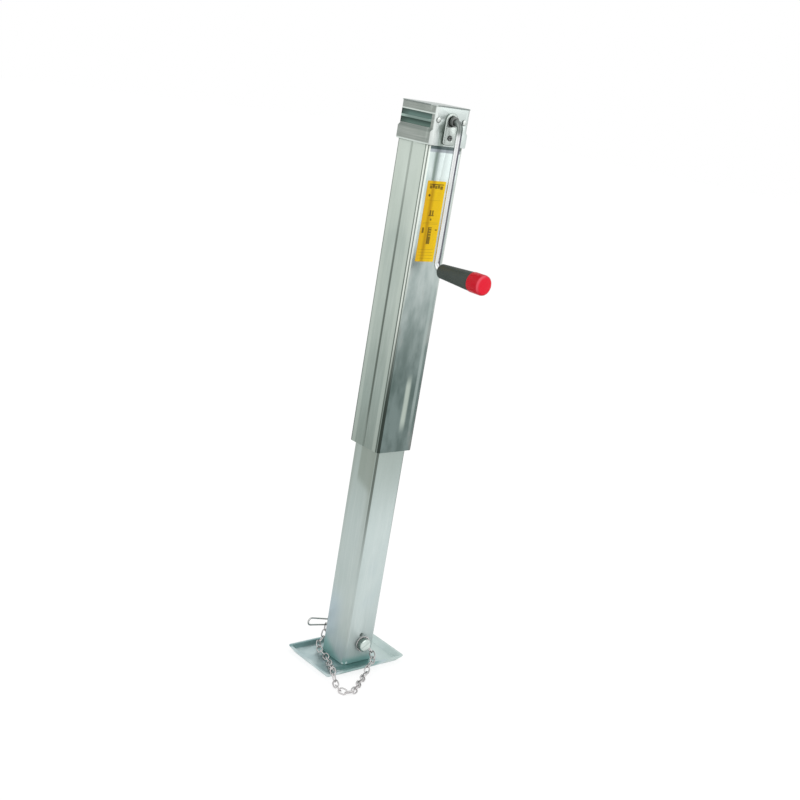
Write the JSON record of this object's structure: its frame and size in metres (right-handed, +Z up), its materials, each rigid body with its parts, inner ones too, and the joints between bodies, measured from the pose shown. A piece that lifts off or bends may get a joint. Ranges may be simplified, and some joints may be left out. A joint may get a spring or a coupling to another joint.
{
  "type": "trailer prop stand",
  "caption": "Zinc-plated telescopic trailer prop stand with a side crank, a pinned foot plate and a pin chain.",
  "frame": {"origin": "centre of the foot plate's underside, where the stand rests on the ground", "axes": "+Z up along the tube, +X towards the crank, +Y across the tube"},
  "size_m": [0.246, 0.1901, 1.012],
  "materials": {
    "bright_zinc": "bright zinc plate",
    "steel_parts": "satin",
    "dark_steel": "oiled",
    "bronze": "turned",
    "white_plastic": "matte",
    "grey_grip": "matte",
    "red_cap": "satin"
  },
  "bodies": {
    "casing": {"outer_tube": "bright_zinc", "tube_guide_pads": "white_plastic", "bearing_plate": "bright_zinc", "gear_housing": "bright_zinc", "housing_lid": "bright_zinc", "housing_rivets": "steel_parts", "shaft_bracket": "bright_zinc", "bracket_screw": "steel_parts", "front_shaft_bush": "bronze", "rear_shaft_bush": "bronze", "upper_thrust_race": "dark_steel", "thrust_rollers": "dark_steel", "roller_cage": "steel_parts"},
    "crank": {"crank_shaft": "dark_steel", "retaining_ring": "dark_steel", "drive_pinion": "dark_steel", "pinion_pin": "dark_steel", "crank_arm": "steel_parts", "arm_pin": "dark_steel", "grip_washer": "steel_parts"},
    "grip": {"crank_grip": "grey_grip", "grip_cap": "red_cap"},
    "screw": {"lead_screw": "dark_steel", "screw_gear": "dark_steel", "gear_pin": "dark_steel", "stop_collar": "dark_steel", "stop_pin": "dark_steel", "lower_thrust_race": "dark_steel"},
    "leg": {"inner_leg": "bright_zinc", "leg_guide_pads": "white_plastic", "nut_plate": "bright_zinc", "lead_nut": "bronze", "nut_bolts": "steel_parts", "foot_tube": "bright_zinc", "foot_plate": "bright_zinc", "chain": "steel_parts", "chain_end_ring": "steel_parts"},
    "pin": {"foot_pin": "steel_parts"},
    "clip": {"spring_clip": "steel_parts"}
  },
  "joints": [
    {"name": "crank_turn", "type": "hinge", "parent": "casing", "child": "crank", "pos_m": [0, 0, 0.989], "axis": [1, 0, 0], "range_deg": [0, 39600]},
    {"name": "screw_turn", "type": "hinge", "parent": "casing", "child": "screw", "pos_m": [0, 0, 0.95], "axis": [0, 0, 1], "range_deg": [-23760, 0]},
    {"name": "leg_slide", "type": "slide", "parent": "casing", "child": "leg", "axis": [0, 0, 1], "range_m": [0, 0.33]},
    {"name": "grip_spin", "type": "hinge", "parent": "crank", "child": "grip", "pos_m": [0.11, 0, 0.749], "axis": [1, 0, 0], "continuous": true},
    {"name": "pin_slide", "type": "slide", "parent": "leg", "child": "pin", "axis": [1, 0, 0], "range_m": [0, 0.0015]},
    {"name": "clip_pull", "type": "slide", "parent": "pin", "child": "clip", "axis": [0, -0.9848, 0.1736], "range_m": [0, 0.03]}
  ],
  "couplings": [
    {"joint": "screw_turn", "follows": "crank_turn", "ratio": -0.6},
    {"joint": "leg_slide", "follows": "crank_turn", "m_per_rad": 0.00047746}
  ]
}
